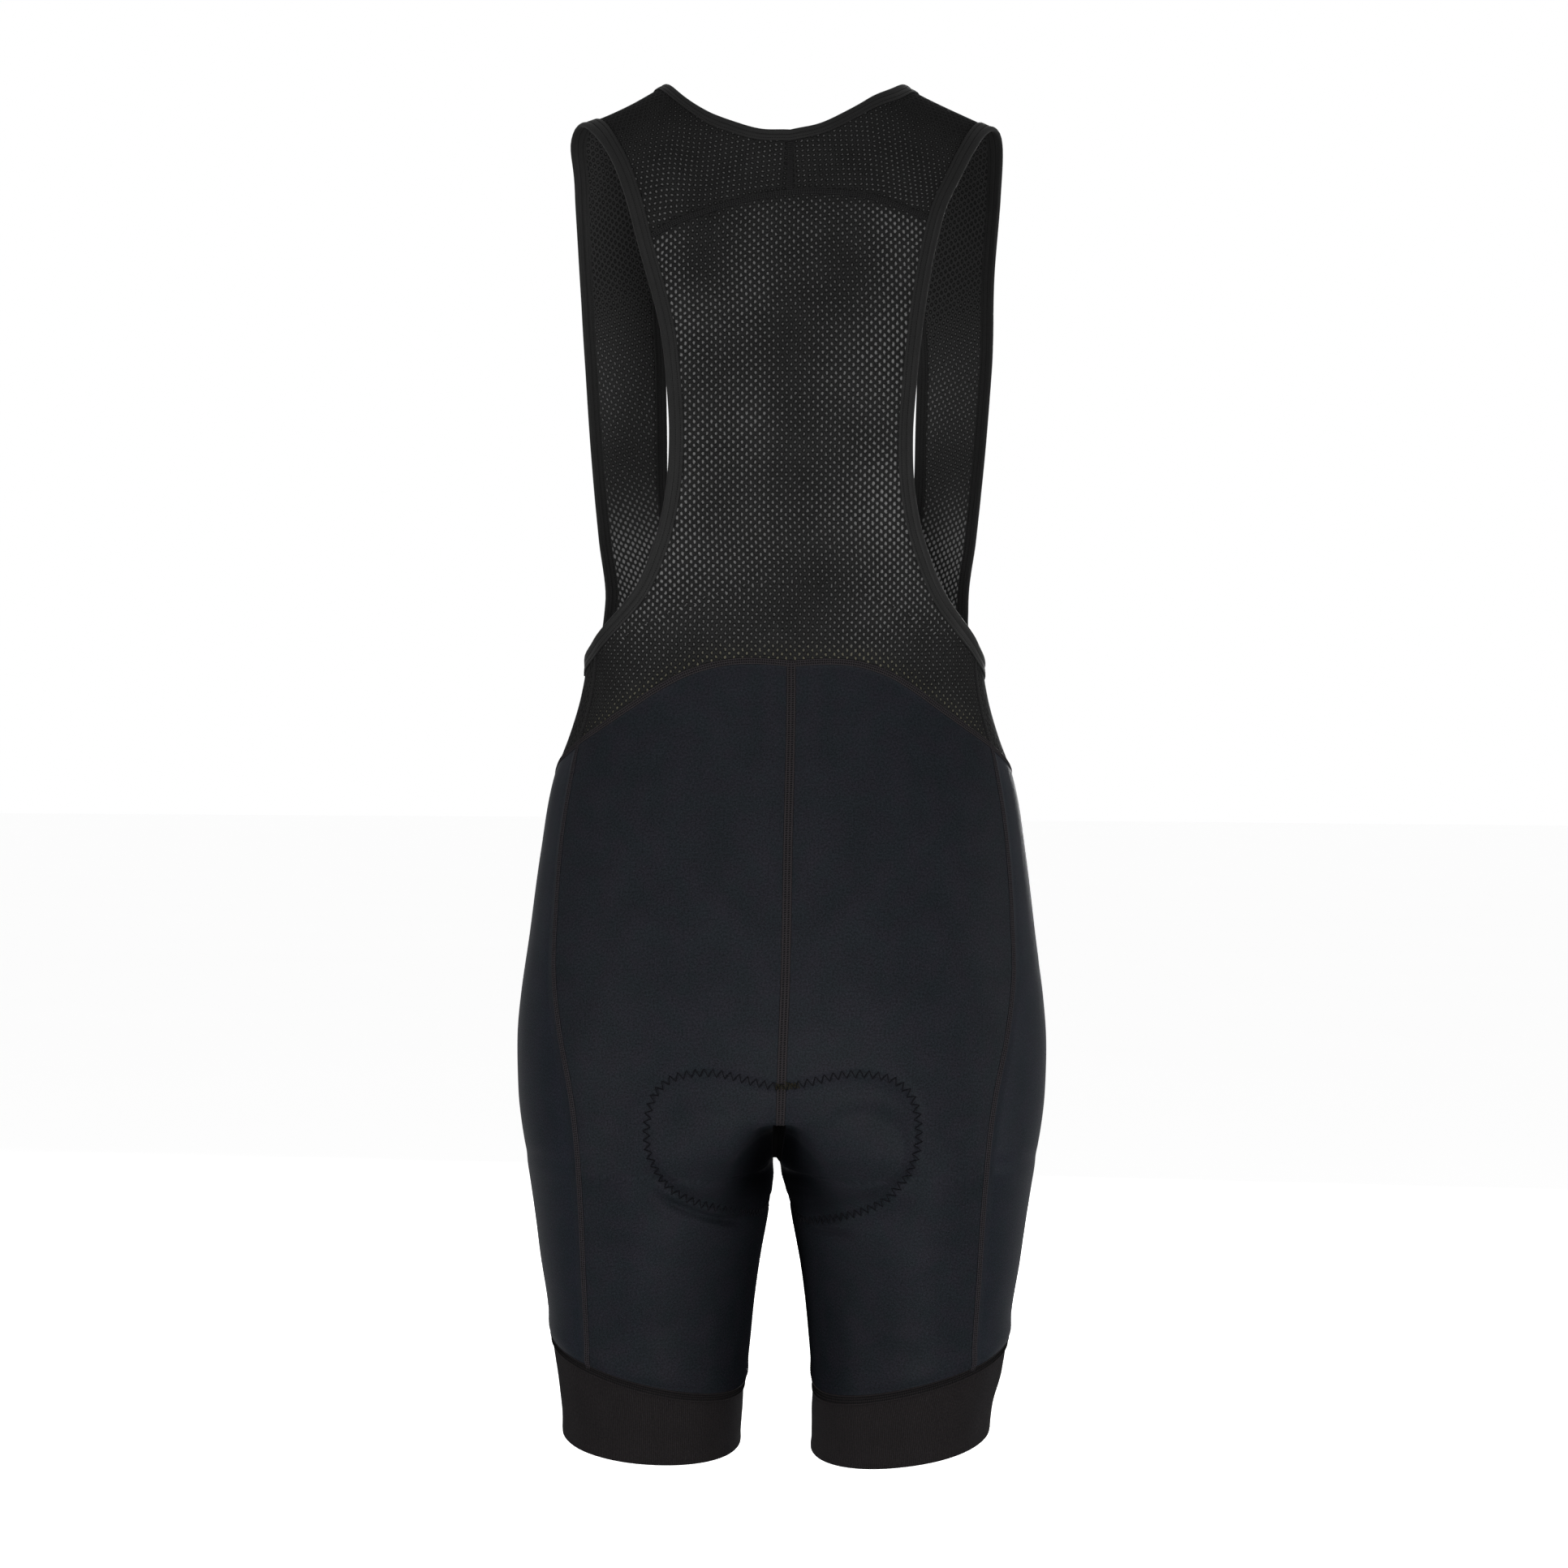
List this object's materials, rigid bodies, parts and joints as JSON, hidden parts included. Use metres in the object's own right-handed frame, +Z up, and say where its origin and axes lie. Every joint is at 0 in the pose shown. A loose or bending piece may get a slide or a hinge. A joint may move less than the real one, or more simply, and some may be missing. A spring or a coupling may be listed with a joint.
{
  "type": "cycling bib shorts",
  "caption": "Close-fitting cycling shorts with a mesh bib back, over-shoulder straps, leg bands and a seat pad, hollow as worn.",
  "frame": {"origin": "midway between the two straps, at the height where they bear on the wearer's shoulders", "axes": "+Z up along the wearer; the wearer faces -Y, so the mesh back is at +Y; the wearer's left side is +X"},
  "size_m": [0.3526, 0.213, 0.9223],
  "materials": {
    "mesh_knit": "open eyelet warp knit, matt black",
    "stretch_knit": "smooth elastane jersey, blue-black, low sheen",
    "ribbed_band": "fine vertical rib, matt black",
    "binding_tape": "folded elastic tape, low sheen, black",
    "pad_fleece": "brushed pad cover over foam, dark grey"
  },
  "bodies": {
    "root": {"back_mesh": "mesh_knit", "strap_left": "mesh_knit", "strap_right": "mesh_knit", "seat_left": "stretch_knit", "seat_right": "stretch_knit", "side_left": "stretch_knit", "side_right": "stretch_knit", "front_left": "stretch_knit", "front_right": "stretch_knit", "leg_band_left": "ribbed_band", "leg_band_right": "ribbed_band", "neck_binding": "binding_tape", "armhole_binding_left": "binding_tape", "armhole_binding_right": "binding_tape", "seat_pad": "pad_fleece"}
  },
  "joints": []
}
